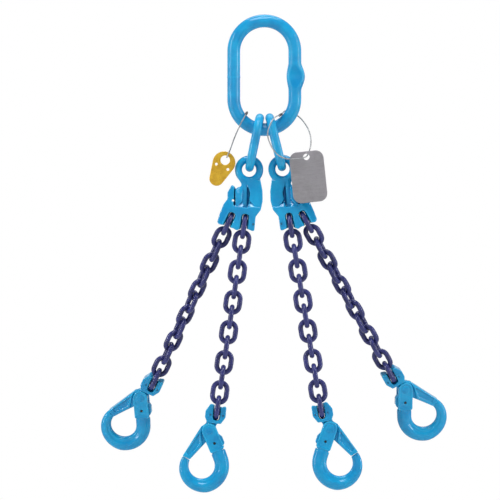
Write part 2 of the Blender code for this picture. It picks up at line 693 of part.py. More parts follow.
def tag_joints():
    """The wires swing on the master link's lower bend and the tags on their wires."""
    bend = Vector((0, 0, MASTER_WIDTH / 2 - MASTER_LENGTH))
    middle = (MASTER_WIDTH + MASTER_BAR) / 2
    left = math.radians(35)
    wire_seat = bend + Vector((-math.sin(left), 0, -math.cos(left))) * middle
    tangent = Vector((math.cos(left), 0, -math.sin(left)))
    egg = Matrix.Rotation(INSPECTION_TILT, 4, "Y")
    plate_axis = Matrix.Rotation(-ID_TAG_TILT, 4, "Y")
    return {
        "inspection_tag_wire": (["inspection_tag_wire", "inspection_tag_ferrule"], wire_seat, tangent),
        "inspection_tag": (["inspection_tag"], INSPECTION_HOLE, direction(egg, (1, 0, 0))),
        "id_tag": (["id_tag"], ID_TAG_HOLE, direction(plate_axis, (1, 0, 0))),
    }


def joints():
    """Each moving body's nodes, a point on its joint's axis and the axis."""
    table = {}
    for side, word in ((LEFT, "left"), (RIGHT, "right")):
        frame = sublink_frame(side)
        hang = frame @ Vector((0, 0, -MASTER_BAR / 2 - SUB_GAP))
        table[f"sublink_{word}"] = ([f"sublink_{word}"], hang, direction(frame, (1, 0, 0)))
        foot = frame @ Vector((0, 0, -SUB_LENGTH - SUB_BAR / 2))
        pins = [f"clutch_pin_{name}" for name, leg in LEGS.items() if leg["side"] == side]
        table[f"clutch_{word}"] = ([f"clutch_{word}", *pins], foot, Vector((0, 1, 0)))
    for leg_name, leg in LEGS.items():
        for number in range(1, len(GROUPS) + 1):
            name = f"chain_{leg_name}_{number}"
            table[name] = ([name], *chain_joint(leg, number))
        table.update(hook_joints(leg_name, leg))
    table.update(tag_joints())
    _, hang, axis = table["sublink_right"]
    table["id_tag_wire"] = (["id_tag_wire", "id_tag_ferrule"], hang, axis)
    return table


def move_origin(name, place):
    """Puts a piece's origin at a place in the world and leaves its shape where it is."""
    piece = bpy.data.objects[name]
    local = piece.matrix_world.inverted() @ place
    piece.data.transform(Matrix.Translation(-local))
    piece.matrix_world = piece.matrix_world @ Matrix.Translation(local)


# ---- assembly -----------------------------------------------------------------------------------

def build():
    build_master()
    for side, word in ((LEFT, "left"), (RIGHT, "right")):
        build_sublink(side, f"sublink_{word}")
        build_clutch(side, f"clutch_{word}")
    for leg_name, leg in LEGS.items():
        build_clutch_pin(leg_name, leg)
        build_chain(leg_name, leg)
        build_latch(leg_name, leg)
        build_hook_body(leg_name, leg)
        build_hook_pins(leg_name, leg)
        build_trigger(leg_name, leg)
        build_trigger_spring(leg_name, leg)
    build_wire("id_tag", id_wire_route())
    build_wire("inspection_tag", inspection_wire_route())
    build_id_tag()
    build_inspection_tag()
    for names, place, _ in joints().values():
        for name in names:
            move_origin(name, place)


build()
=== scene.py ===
"""Looks of the four leg chain sling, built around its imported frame.

Every piece is modelled in its own right-hand frame, in metres, and placed by the frame's joints.
Left-hand pieces are mirror images of the right-hand ones. MM turns millimetres into metres.
"""
import json
import math

import bmesh
import bpy
from mathutils import Matrix, Vector, noise


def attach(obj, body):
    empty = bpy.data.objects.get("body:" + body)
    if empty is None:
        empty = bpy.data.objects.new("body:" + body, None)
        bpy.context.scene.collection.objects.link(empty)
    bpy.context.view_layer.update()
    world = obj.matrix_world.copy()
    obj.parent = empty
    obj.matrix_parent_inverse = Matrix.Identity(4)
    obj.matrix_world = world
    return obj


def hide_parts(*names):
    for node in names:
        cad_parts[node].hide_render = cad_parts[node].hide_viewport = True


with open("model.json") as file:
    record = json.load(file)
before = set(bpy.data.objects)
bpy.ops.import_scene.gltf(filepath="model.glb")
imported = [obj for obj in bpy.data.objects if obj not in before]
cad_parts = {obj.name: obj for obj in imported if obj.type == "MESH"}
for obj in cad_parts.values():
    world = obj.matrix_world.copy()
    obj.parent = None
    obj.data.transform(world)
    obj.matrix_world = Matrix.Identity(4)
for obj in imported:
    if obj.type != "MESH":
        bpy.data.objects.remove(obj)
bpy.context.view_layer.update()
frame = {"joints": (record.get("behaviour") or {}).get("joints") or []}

JOINTS = {joint["name"]: joint for joint in frame["joints"]}
MM = 0.001
GAP = 0.3 * MM
LEFT, RIGHT = -1, 1

# Driving dimensions, the same as the CAD's
BAR = 8 * MM
PITCH = 3 * BAR
LINK_WIDTH = 3.7 * BAR
LINK_COUNT = 13
GROUPS = (3, 3, 4, 3)
MASTER_BAR = 20.5 * MM
MASTER_LENGTH = 151 * MM
MASTER_WIDTH = 76 * MM
SWELL_SHIFT = 1.4 * MM
SUB_BAR = 14 * MM
SUB_LENGTH = 66 * MM
SUB_WIDTH = 34 * MM
SUB_GAP = 0.45 * MM
SOCKET_INNER = Vector((6.5, 0, -83.5)) * MM
SOCKET_OUTER = Vector((30.5, 0, -80.5)) * MM
INNER_SOCKET_TILT = math.radians(7)
OUTER_SOCKET_TILT = math.radians(25)
CLEVIS_HEAD = 14 * MM
PIN_RADIUS = 5 * MM
HOOK_PIN = Vector((-9, 0, 31)) * MM
SHANK_ANGLE = math.radians(28.5)
FORK_LENGTH = 34 * MM
CHEEK_RADIUS = 11.8 * MM
CHEEK_GAP = 10.9 * MM
LUG_THICK = 10.3 * MM
BOWL_CENTRE = Vector((6.4, 0, -55.9)) * MM
BOWL_RADIUS = 20.5 * MM
BOWL_THICK = 23.6 * MM
TIP_THICK = 13.4 * MM
TIP_ANGLE = math.radians(20)
TRIGGER_DROP = 21.6 * MM
TRIGGER_PROUD = 3.4 * MM

# Side of each leg and the most that its chain twists, in degrees
LEGS = {
    "outer_left": dict(side=LEFT, twist=25),
    "inner_left": dict(side=LEFT, twist=0),
    "inner_right": dict(side=RIGHT, twist=0),
    "outer_right": dict(side=RIGHT, twist=25),
}
TWIST_STEP = 20         # more on every other link of a twisted chain

VOXEL = 0.8 * MM        # fineness of the forged pieces' skin
TAG_VOXEL = 0.55 * MM
FAR = 40 * MM           # past the faces of any forging, for what cuts right through


# ---- places ----

def joint_point(name):
    return Vector(JOINTS[name]["pos_m"])


def joint_axis(name):
    return Vector(JOINTS[name]["axis"])


def frame_at(origin, across, up):
    """A frame with Z along up and X as near to across as it can be."""
    up = up.normalized()
    across = (across - across.dot(up) * up).normalized()
    turn = Matrix((across, up.cross(across), up)).transposed()
    return Matrix.Translation(origin) @ turn.to_4x4()


def side_word(side):
    return "left" if side == LEFT else "right"


def leg_ends(leg_name):
    return joint_point(f"chain_{leg_name}_swing_1"), joint_point(f"hook_head_{leg_name}_swing")


def leg_frame(leg_name):
    """Origin on the clutch's load pin, +Z up the leg, X along the load pins."""
    top, bottom = leg_ends(leg_name)
    return frame_at(top, joint_axis(f"hook_head_{leg_name}_swing"), top - bottom)


def hook_frame(leg_name):
    """Origin on the hook's main pivot, X along the load pin towards the bowl, or away on the left."""
    across = joint_axis(f"hook_head_{leg_name}_swing")
    opening = joint_axis(f"hook_{leg_name}_open") * LEGS[leg_name]["side"]
    return frame_at(joint_point(f"hook_{leg_name}_open"), across, across.cross(opening))


def link_frame(leg_name, index):
    """Origin in the middle of a link, +Z up the leg and X across the link."""
    leg = LEGS[leg_name]
    top, bottom = leg_ends(leg_name)
    pin_to_link = ((top - bottom).length - (LINK_COUNT - 1) * PITCH) / 2
    twist = leg["twist"] * math.sin(math.pi * index / (LINK_COUNT - 1))
    if index % 2 and leg["twist"]:
        twist += TWIST_STEP
    flat = 0 if index % 2 else 90
    spin = Matrix.Rotation(math.radians(flat - leg["side"] * twist), 4, "Z")
    fall = pin_to_link + index * PITCH
    return leg_frame(leg_name) @ Matrix.Translation((0, 0, -fall)) @ spin


def sublink_frame(side):
    """Origin at the sublink's inside top, +Z along its length."""
    word = side_word(side)
    hang = joint_point(f"sublink_{word}_swing")
    up = (hang - joint_point(f"clutch_{word}_swing")).normalized()
    return frame_at(hang + up * (MASTER_BAR / 2 + SUB_GAP), joint_axis(f"sublink_{word}_swing"), up)


def clutch_frame(side):
    """Origin at the middle of the clutch's eye, found from its two load pins."""
    word = side_word(side)
    inner = joint_point(f"chain_inner_{word}_swing_1")
    outer = joint_point(f"chain_outer_{word}_swing_1")
    mirror = Matrix.Diagonal((side, 1, 1))
    local = mirror @ (SOCKET_OUTER - SOCKET_INNER)
    turn = local.rotation_difference(outer - inner).to_matrix()
    return Matrix.Translation(inner - turn @ (mirror @ SOCKET_INNER)) @ turn.to_4x4()


def socket_frame(outer):
    place = SOCKET_OUTER if outer else SOCKET_INNER
    tilt = OUTER_SOCKET_TILT if outer else INNER_SOCKET_TILT
    return Matrix.Translation(place) @ Matrix.Rotation(-tilt, 4, "Y")


def shank_frame():
    """In the hook: Z runs up the shank to the pivot and -X is the hook's back."""
    return Matrix.Rotation(SHANK_ANGLE, 4, "Y")


# ---- meshes ----

def millimetres(*pairs):
    return [(x * MM, z * MM) for x, z in pairs]


def arc(centre, radius, start, stop, steps):
    """Points on an arc in the XZ plane, as (x, z) pairs; angles in degrees."""
    spread = [math.radians(start + (stop - start) * i / steps) for i in range(steps + 1)]
    return [(centre[0] + radius * math.cos(a), centre[1] + radius * math.sin(a)) for a in spread]


def circle(centre, radius, sides):
    return arc(centre, radius, 0, 360 - 360 / sides, sides - 1)


def smooth_route(stops, steps):
    """A closed Catmull-Rom curve through the stops."""
    count = len(stops)
    route = []
    for i in range(count):
        a, b, c, d = (stops[(i + k) % count] for k in (-1, 0, 1, 2))
        for j in range(steps):
            t = j / steps
            route.append(0.5 * (2 * b + (c - a) * t + (2 * a - 5 * b + 4 * c - d) * t ** 2
                                + (3 * b - a - 3 * c + d) * t ** 3))
    return route


def rounded(corners, radius, steps=3):
    """An outline of (x, z) corners with every corner rounded; radius is a number or one for each."""
    count = len(corners)
    radii = radius if hasattr(radius, "__len__") else [radius] * count
    outline = []
    for i, (x, z) in enumerate(corners):
        here = Vector((x, z))
        back = Vector(corners[i - 1]) - here
        on = Vector(corners[(i + 1) % count]) - here
        half = back.angle(on) / 2
        trim = min(radii[i] / math.tan(half), back.length * 0.48, on.length * 0.48)
        start, stop = here + back.normalized() * trim, here + on.normalized() * trim
        for j in range(steps + 1):
            t = j / steps
            point = start * (1 - t) ** 2 + here * 2 * t * (1 - t) + stop * t ** 2
            outline.append((point.x, point.y))
    return outline


def skin(rings, closed):
    """Quads between rings of points; the ends of an open run are capped."""
    form = bmesh.new()
    rows = [[form.verts.new(point) for point in ring] for ring in rings]
    sides = len(rows[0])
    spans = len(rows) if closed else len(rows) - 1
    for i in range(spans):
        a, b = rows[i], rows[(i + 1) % len(rows)]
        for j in range(sides):
            k = (j + 1) % sides
            form.faces.new((a[j], a[k], b[k], b[j]))
    if not closed:
        form.faces.new(rows[0][::-1])
        form.faces.new(rows[-1])
    bmesh.ops.recalc_face_normals(form, faces=form.faces)
    return finished(form)


def finished(form):
    mesh = bpy.data.meshes.new("mesh")
    form.to_mesh(mesh)
    form.free()
    return mesh


def swept(route, section, sides, closed=True):
    """A bar along a route in the XZ plane. section(index, angle) gives (in-plane, across) reaches."""
    count = len(route)
    rings = []
    for i, place in enumerate(route):
        before = route[(i - 1) % count] if closed or i else place
        after = route[(i + 1) % count] if closed or i < count - 1 else place
        along = (after - before).normalized()
        outward = Vector((along.z, 0, -along.x))
        ring = []
        for j in range(sides):
            reach, across = section(i, 2 * math.pi * j / sides)
            ring.append(place + outward * reach + Vector((0, across, 0)))
        rings.append(ring)
    return skin(rings, closed)


def add_spline(curve, points, closed):
    spline = curve.splines.new("POLY")
    spline.points.add(len(points) - 1)
    spline.use_cyclic_u = closed
    for knot, place in zip(spline.points, points):
        knot.co = (*place, 1)


def tube(route, radius, sides=8, closed=False):
    """A round bar along any route, as a bevelled curve made a mesh."""
    curve = bpy.data.curves.new("tube", "CURVE")
    curve.dimensions = "3D"
    curve.twist_mode = "MINIMUM"
    curve.bevel_depth = radius
    curve.bevel_resolution = (sides - 4) // 2
    curve.use_fill_caps = not closed
    add_spline(curve, route, closed)
    return mesh_of(placed("tube", curve))


def plate(outline, low, high, holes=()):
    """An outline in the XZ plane, made solid from y=low to y=high."""
    curve = bpy.data.curves.new("plate", "CURVE")
    curve.dimensions = "2D"
    curve.fill_mode = "BOTH"
    curve.extrude = (high - low) / 2
    for loop in (outline, *holes):
        add_spline(curve, [(x, z, 0) for x, z in loop], True)
    made = placed("plate", curve)
    made.matrix_world = Matrix.Translation((0, (low + high) / 2, 0)) @ Matrix.Rotation(math.pi / 2, 4, "X")
    return mesh_of(made)


def turned(profile, axis, sides):
    """A body of revolution. profile lists (radius, height) from one end to the other."""
    rings = []
    for radius, height in profile:
        rings.append([Vector((radius * math.cos(a), radius * math.sin(a), height))
                      for a in (2 * math.pi * j / sides for j in range(sides))])
    turn = {"X": Matrix.Rotation(math.pi / 2, 4, "Y"), "Y": Matrix.Rotation(-math.pi / 2, 4, "X")}
    return moved(skin(rings, False), turn[axis])


def cylinder(radius, low, high, centre=(0, 0, 0)):
    """A round bar along Y."""
    return moved(turned([(radius, low), (radius, high)], "Y", 32), Matrix.Translation(centre))


def box(low, high):
    form = bmesh.new()
    bmesh.ops.create_cube(form, size=1)
    low, high = Vector(low), Vector(high)
    size = high - low
    form.transform(Matrix.Translation((low + high) / 2) @ Matrix.Diagonal((*size, 1)))
    return finished(form)


def moved(mesh, matrix):
    mesh.transform(matrix)
    return mesh


def placed(name, data):
    """A new object, linked to the scene."""
    made = bpy.data.objects.new(name, data)
    bpy.context.scene.collection.objects.link(made)
    return made


def mesh_of(made, helpers=()):
    """The mesh that an object evaluates to; the object and its helpers go."""
    bpy.context.view_layer.update()
    graph = bpy.context.evaluated_depsgraph_get()
    mesh = bpy.data.meshes.new_from_object(made.evaluated_get(graph))
    mesh.transform(made.matrix_world)
    for old in (made, *helpers):
        bpy.data.objects.remove(old)
    form = bmesh.new()
    form.from_mesh(mesh)
    bmesh.ops.remove_doubles(form, verts=form.verts, dist=1e-6)
    form.to_mesh(mesh)
    form.free()
    return mesh


def joined(meshes):
    form = bmesh.new()
    for mesh in meshes:
        form.from_mesh(mesh)
    return finished(form)


def add_remesh(made, voxel):
    step = made.modifiers.new("skin", "REMESH")
    step.mode = "VOXEL"
    step.voxel_size = voxel


def add_smooth(made, rounds):
    step = made.modifiers.new("soften", "SMOOTH")
    step.factor = 0.5
    step.iterations = rounds


def forged(solids, cuts=(), voxel=VOXEL, rounds=4):
    """Fuses overlapping solids, cuts the hollows and rounds every edge like a coated forging."""
    made = placed("forged", joined(solids))
    add_remesh(made, voxel)
    helpers = []
    for cut in cuts:
        cutter = placed("cutter", cut)
        helpers.append(cutter)
        step = made.modifiers.new("cut", "BOOLEAN")
        step.object = cutter
        step.operation = "DIFFERENCE"
        step.solver = "MANIFOLD"
    if cuts:
        add_remesh(made, voxel)
    add_smooth(made, rounds)
    return mesh_of(made, helpers)


def mirrored(mesh):
    copy = mesh.copy()
    copy.transform(Matrix.Scale(-1, 4, (1, 0, 0)))
    copy.flip_normals()
    return copy


def piece(name, mesh, look, body, place=Matrix.Identity(4), side=RIGHT, stands_for=(),
          grained=False):
    """A finished piece in the scene, riding on its body. Only a grained piece keeps its turn, for its
    look to follow; any other mesh takes the turn itself, so that its box is tight."""
    mesh = mirrored(mesh) if side == LEFT else mesh.copy()
    if not grained:
        moved(mesh, place.to_3x3().to_4x4())
        place = Matrix.Translation(place.translation)
    mesh.name = name
    mesh.materials.clear()
    mesh.materials.append(look)
    made = placed(name, mesh)
    made.matrix_world = place
    mesh.shade_smooth()
    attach(made, body)
    if stands_for:
        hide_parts(*stands_for)
    return made


# ---- materials ----

class Nodes:
    """Short names for making the nodes of one tree."""

    def __init__(self, tree):
        self.tree = tree

    def node(self, kind, inputs=(), **settings):
        made = self.tree.nodes.new(kind)
        for name, value in settings.items():
            setattr(made, name, value)
        for key, value in dict(inputs).items():
            self.feed(made.inputs[key], value)
        return made

    def feed(self, socket, value):
        if isinstance(value, bpy.types.NodeSocket):
            self.tree.links.new(value, socket)
        else:
            socket.default_value = value

    def range(self, value, low, high, to_low=0.0, to_high=1.0):
        made = self.node("ShaderNodeMapRange", {"Value": value, "From Min": low, "From Max": high,
                                                "To Min": to_low, "To Max": to_high})
        return made.outputs["Result"]

    def math(self, operation, a, b=0.0):
        return self.node("ShaderNodeMath", {0: a, 1: b}, operation=operation).outputs[0]


class Look(Nodes):
    """A Principled material and the patterns that feed it."""

    def __init__(self, name, **settings):
        self.material = bpy.data.materials.new(name)
        self.material.use_nodes = True
        super().__init__(self.material.node_tree)
        self.shader = self.tree.nodes["Principled BSDF"]
        for socket, value in settings.items():
            self.shader.inputs[socket.replace("_", " ")].default_value = value

    def place(self, stretch=(1, 1, 1)):
        """Object coordinates, shifted by a different amount on every piece."""
        coordinates = self.node("ShaderNodeTexCoord").outputs["Object"]
        chance = self.node("ShaderNodeObjectInfo").outputs["Random"]
        moved_by = self.node("ShaderNodeVectorMath", {0: coordinates, 1: chance}, operation="ADD")
        return self.node("ShaderNodeVectorMath", {0: moved_by.outputs[0], 1: stretch},
                         operation="MULTIPLY").outputs[0]

    def noise(self, place, scale, detail, roughness=0.5):
        made = self.node("ShaderNodeTexNoise", {"Vector": place, "Scale": scale, "Detail": detail,
                                                "Roughness": roughness})
        return made.outputs["Fac"]

    def mix(self, factor, a, b):
        made = self.node("ShaderNodeMix", data_type="RGBA")
        sockets = {"Factor": factor, "A": a, "B": b}
        for socket in made.inputs:
            if socket.name == "Factor" and socket.type == "VALUE" or socket.type == "RGBA":
                self.feed(socket, sockets[socket.name])
        return next(socket for socket in made.outputs if socket.type == "RGBA")

    def laid(self, tone, colour, mask, strength):
        """The tone with a colour laid over it where the mask is, no stronger than asked."""
        return self.mix(self.math("MULTIPLY", mask, strength), tone, colour)

    def edges(self, low, high):
        """From 0 on flats and in hollows to 1 on sharp outer edges."""
        return self.range(self.node("ShaderNodeNewGeometry").outputs["Pointiness"], low, high)

    def hollows(self, distance, low=0.3, high=0.9):
        """From 1 deep in corners to 0 in the open."""
        shade = self.node("ShaderNodeAmbientOcclusion", {"Distance": distance}, samples=6, only_local=True)
        return self.range(shade.outputs["AO"], low, high, 1.0, 0.0)

    def bump(self, height, distance, strength, below=None):
        inputs = {"Height": height, "Distance": distance, "Strength": strength}
        if below is not None:
            inputs["Normal"] = below
        return self.node("ShaderNodeBump", inputs).outputs["Normal"]

    def finish(self, colour, roughness, normal, metallic=None):
        fed = {"Base Color": colour, "Roughness": roughness, "Normal": normal, "Metallic": metallic}
        for socket, value in fed.items():
            if value is not None:
                self.feed(self.shader.inputs[socket], value)
        return self.material


def rgb(red, green, blue):
    return (red, green, blue, 1.0)


def blue_paint():
    """Thick gloss coating over a forging: orange peel and a few chips, with painted highlights on the outer
    edges, painted shade along creases and painted shade in deep corners.
    """
    look = Look("blue_gloss_paint", Coat_Weight=0.8, Coat_Roughness=0.08, Specular_IOR_Level=0.04)
    place = look.place()
    drift = look.range(look.noise(place, 38, 3), 0.35, 0.65)
    tone = look.mix(drift, rgb(0.005, 0.25, 0.55), rgb(0.006, 0.35, 0.66))
    # Painted highlight: lighter cyan on the sharp outer edges
    tone = look.laid(tone, rgb(0.05, 0.58, 0.88), look.edges(0.508, 0.56), 0.6)
    # Painted shade: darker blue along concave creases
    tone = look.laid(tone, rgb(0.004, 0.09, 0.30), look.edges(0.49, 0.45), 0.5)
    # Painted shade: deep blue in corners and recesses
    tone = look.laid(tone, rgb(0.003, 0.045, 0.19), look.hollows(10 * MM, 0.15, 0.82), 0.92)
    speck = look.range(look.noise(place, 420, 4, 0.65), 0.66, 0.69)
    chips = look.math("MULTIPLY", speck, look.edges(0.515, 0.55))
    tone = look.mix(chips, tone, rgb(0.05, 0.06, 0.09))
    gloss = look.range(look.noise(place, 160, 4), 0.3, 0.7, 0.20, 0.34)
    gloss = look.math("ADD", gloss, look.math("MULTIPLY", chips, 0.25))
    cast = look.bump(look.noise(place, 70, 2), 0.3 * MM, 0.25)
    peel = look.bump(look.noise(place, 700, 2), 0.03 * MM, 0.4, cast)
    return look.finish(tone, gloss, peel)


def chain_paint():
    """Thin dark blue-violet coating, scaly, lighter lilac on the outside of the bends, partly rubbed wear
    and partly painted highlight, with painted shade in its hollows.
    """
    look = Look("chain_blue_violet", Specular_IOR_Level=0.15, Coat_Weight=0.6, Coat_Roughness=0.16)
    place = look.place()
    drift = look.range(look.noise(place, 90, 4), 0.3, 0.7)
    tone = look.mix(drift, rgb(0.009, 0.009, 0.060), rgb(0.030, 0.034, 0.18))
    # Lighter lilac on the outer edges: partly rubbed wear, partly painted highlight
    tone = look.laid(tone, rgb(0.07, 0.08, 0.29), look.edges(0.50, 0.56), 0.4)
    # Painted shade: near black in the link's hollows
    tone = look.laid(tone, rgb(0.004, 0.003, 0.02), look.hollows(8 * MM, 0.3, 0.95), 0.92)
    scuff = look.range(look.noise(place, 520, 5, 0.7), 0.60, 0.68)
    tone = look.laid(tone, rgb(0.10, 0.11, 0.27), scuff, 0.4)
    rust = look.range(look.noise(place, 260, 5, 0.7), 0.72, 0.76)
    tone = look.laid(tone, rgb(0.02, 0.012, 0.03), rust, 0.6)
    gloss = look.range(look.noise(place, 300, 4), 0.3, 0.7, 0.28, 0.50)
    metal = look.math("MULTIPLY", scuff, 0.6)
    scale = look.bump(look.noise(place, 420, 5, 0.6), 0.25 * MM, 0.5)
    dents = look.bump(look.noise(place, 140, 2), 0.6 * MM, 0.3, scale)
    return look.finish(tone, gloss, dents, metal)


def pin_steel(name, dark, light, metal=0.85):
    """Ground or drawn steel with fine turning marks, oily patches and painted shade in its hollows."""
    look = Look(name, Metallic=metal)
    place = look.place()
    patches = look.range(look.noise(place, 200, 4), 0.3, 0.7)
    tone = look.mix(patches, dark, light)
    # Painted shade: darker in hollows and corners
    tone = look.laid(tone, rgb(0.01, 0.01, 0.012), look.hollows(4 * MM), 0.6)
    gloss = look.range(look.noise(place, 600, 3), 0.3, 0.7, 0.28, 0.5)
    lines = look.bump(look.noise(look.place((1, 1, 9)), 700, 3), 0.08 * MM, 0.5)
    return look.finish(tone, gloss, lines)


def stamped_rows(look):
    """Rows of short dashes on the tag's lower part, 6 mm apart, that say nothing."""
    height = look.node("ShaderNodeSeparateXYZ", {0: look.node("ShaderNodeTexCoord").outputs["Object"]})
    height = height.outputs["Z"]
    wave = look.math("SINE", look.math("MULTIPLY", height, 2 * math.pi / (6 * MM)))
    lines = look.range(wave, 0.45, 0.75)
    dashes = look.range(look.noise(look.place((1, 1, 0.2)), 420, 2), 0.48, 0.54)
    inside = look.math("MULTIPLY", look.range(height, -14 * MM, -16 * MM),
                       look.range(height, -70 * MM, -68 * MM))
    return look.math("MULTIPLY", look.math("MULTIPLY", lines, dashes), inside)


def tag_steel():
    """Grey plate: long handling scratches, smudges and faint stamped rows."""
    look = Look("tag_grey_plate", Specular_IOR_Level=0.5)
    place = look.place()
    smudge = look.range(look.noise(place, 35, 5, 0.6), 0.3, 0.7)
    tone = look.mix(smudge, rgb(0.30, 0.29, 0.31), rgb(0.42, 0.40, 0.44))
    across = look.place((1, 1, 14))
    scratch = look.range(look.noise(across, 60, 6, 0.75), 0.42, 0.62)
    tone = look.laid(tone, rgb(0.42, 0.42, 0.43), scratch, 0.55)
    stamp = stamped_rows(look)
    tone = look.laid(tone, rgb(0.16, 0.16, 0.17), stamp, 0.12)
    gloss = look.range(look.noise(place, 90, 5, 0.6), 0.3, 0.7, 0.36, 0.58)
    press = look.bump(stamp, -0.1 * MM, 0.4)
    grain = look.bump(look.noise(across, 500, 4, 0.7), 0.05 * MM, 0.6, press)
    dents = look.bump(look.noise(place, 60, 2), 0.5 * MM, 0.35, grain)
    return look.finish(tone, gloss, dents, look.range(smudge, 0, 1, 0.55, 0.8))


def tag_gold():
    """Yellow-gold plate, mottled with darker worn clouds and pin-prick pits."""
    look = Look("tag_gold_plate", Specular_IOR_Level=0.5)
    place = look.place()
    cloud = look.range(look.noise(place, 85, 5, 0.65), 0.34, 0.66)
    tone = look.mix(cloud, rgb(0.60, 0.33, 0.020), rgb(0.86, 0.55, 0.05))
    pits = look.range(look.noise(place, 520, 5, 0.7), 0.62, 0.70)
    tone = look.laid(tone, rgb(0.20, 0.12, 0.02), pits, 0.6)
    gloss = look.range(look.noise(place, 150, 4), 0.3, 0.7, 0.3, 0.55)
    grain = look.bump(look.noise(place, 700, 4, 0.6), 0.08 * MM, 0.6)
    dents = look.bump(look.noise(place, 110, 2), 0.5 * MM, 0.4, grain)
    return look.finish(tone, gloss, dents, look.range(cloud, 0, 1, 0.35, 0.6))


BLUE = blue_paint()
CHAIN_PAINT = chain_paint()
PIN_STEEL = pin_steel("dark_pin_steel", rgb(0.035, 0.035, 0.045), rgb(0.12, 0.12, 0.14))
ROLL_STEEL = pin_steel("roll_pin_steel", rgb(0.012, 0.012, 0.018), rgb(0.05, 0.05, 0.06), 0.6)
WIRE_STEEL = pin_steel("wire_steel", rgb(0.36, 0.37, 0.38), rgb(0.62, 0.63, 0.64))
FERRULE_STEEL = pin_steel("ferrule_dark", rgb(0.03, 0.03, 0.035), rgb(0.09, 0.09, 0.10), 0.5)
TAG_STEEL = tag_steel()
TAG_GOLD = tag_gold()


# ---- links ----

def oval(top, bottom, width, bar, steps, limb_steps):
    """Centre line of a link: top and bottom are the inside half lengths. It starts on the right limb."""
    radius = (width - bar) / 2
    crown = [Vector((x, 0, z)) for x, z in arc((0, top + bar / 2 - radius), radius, 0, 180, steps)]
    foot = [Vector((x, 0, z)) for x, z in arc((0, radius - bottom - bar / 2), radius, 180, 360, steps)]
    left = [crown[-1].lerp(foot[0], i / limb_steps) for i in range(1, limb_steps)]
    right = [foot[-1].lerp(crown[0], i / limb_steps) for i in range(1, limb_steps)]
    return crown + left + foot + right


def weld_bead(z, middle, width, height):
    """How much thicker than the bar it is at z, with a weld's bead round it at the middle."""
    return 1 + height * math.exp(-((z - middle) / width) ** 2)


def build_master():
    """Master link with a flattened, swollen pad on its right limb and a weld seam on its left one."""
    half = MASTER_LENGTH / 2
    route = oval(half, half, MASTER_WIDTH + 2 * MASTER_BAR, MASTER_BAR, 40, 48)
    pad_half, pad_z, thinner, wider = 21 * MM, -2 * MM, 0.34, 0.42

    def section(index, angle):
        place = route[index]
        reach, across = (MASTER_BAR / 2 * math.cos(angle), MASTER_BAR / 2 * math.sin(angle))
        if place.x > MASTER_WIDTH / 2:
            share = max(0.0, math.cos(min(abs(place.z - pad_z) / pad_half, 1) * math.pi / 2)) ** 1.3
            limit = MASTER_BAR / 2 * (1 - thinner * share)
            across = math.copysign(soft_min(abs(across), limit, 0.8 * MM), across)
            reach = reach * (1 + wider * share) + SWELL_SHIFT * share
        elif place.x < -MASTER_WIDTH / 2:
            bead = weld_bead(place.z, -3 * MM, 1.3 * MM, 0.035)
            reach, across = reach * bead, across * bead
        return reach, across

    mesh = moved(swept(route, section, 36), Matrix.Translation((0, 0, -half)))
    piece("forged_master_link", mesh, BLUE, "master", stands_for=["master_link"])


def soft_min(a, b, blend):
    """The smaller of two numbers, with the corner between them rounded."""
    share = max(0.0, min(1.0, 0.5 + (b - a) / (2 * blend)))
    return b + (a - b) * share - blend * share * (1 - share)


def welded_ring(route, bar, sides, limb, bead):
    """A round ring with a weld's bead on its left or right limb: the bead's height, width and swell."""
    def section(index, angle):
        place = route[index]
        radius = bar / 2
        if place.x * limb > 0:
            radius *= weld_bead(place.z, *bead)
        return radius * math.cos(angle), radius * math.sin(angle)

    return swept(route, section, sides)


def build_sublink(side):
    half = SUB_LENGTH / 2
    route = oval(half, half, SUB_WIDTH + 2 * SUB_BAR, SUB_BAR, 24, 14)
    edge_on = Matrix.Translation((0, 0, -half)) @ Matrix.Rotation(math.pi / 2, 4, "Z")
    mesh = moved(welded_ring(route, SUB_BAR, 28, LEFT, (-6 * MM, 1.2 * MM, 0.04)), edge_on)
    word = side_word(side)
    piece(f"forged_sublink_{word}", mesh, BLUE, f"sublink_{word}", sublink_frame(side),
          stands_for=[f"sublink_{word}"])


def chain_link_mesh(top, bottom):
    route = oval(top, bottom, LINK_WIDTH, BAR, 14, 8)
    return welded_ring(route, BAR, 18, RIGHT, (0, 1.1 * MM, 0.07))


def build_chains():
    """Links of one run bear on each other; those at its ends have a gap to the next run."""
    pinned, fused, free = PITCH / 2, PITCH / 2 - 0.25 * MM, PITCH / 2 + GAP
    for leg_name in LEGS:
        start = 0
        for number, size in enumerate(GROUPS, 1):
            last = start + size - 1
            body = f"chain_{leg_name}_{number}"
            for index in range(start, start + size):
                top = free if index == start else fused
                bottom = free if index == last else fused
                if index == 0:
                    top = pinned
                if index == LINK_COUNT - 1:
                    bottom = pinned
                piece(f"link_{leg_name}_{index + 1:02d}", chain_link_mesh(top, bottom), CHAIN_PAINT, body,
                      link_frame(leg_name, index),
                      stands_for=[body] if index == start else [])
            start += size


# ---- pins ----

def pin_mesh(radius, low, high, axis, chamfer=0.8 * MM):
    """A pin with chamfered ends and a small centre mark in each."""
    dimple = radius * 0.28
    profile = [(dimple * 0.2, low + dimple * 0.6), (dimple, low), (radius - chamfer, low),
               (radius, low + chamfer), (radius, high - chamfer), (radius - chamfer, high),
               (dimple, high), (dimple * 0.2, high - dimple * 0.6)]
    return turned(profile, axis, 36)


def rivet_mesh(radius, half, head):
    """A riveted pivot: domed, slightly proud heads."""
    dome = [(radius * math.sin(a), half + head * (math.cos(a) - 1))
            for a in (math.radians(6 + 12 * i) for i in range(8))]
    profile = [(r, -h) for r, h in dome] + [(r, h) for r, h in reversed(dome)]
    return turned(profile, "Y", 40)


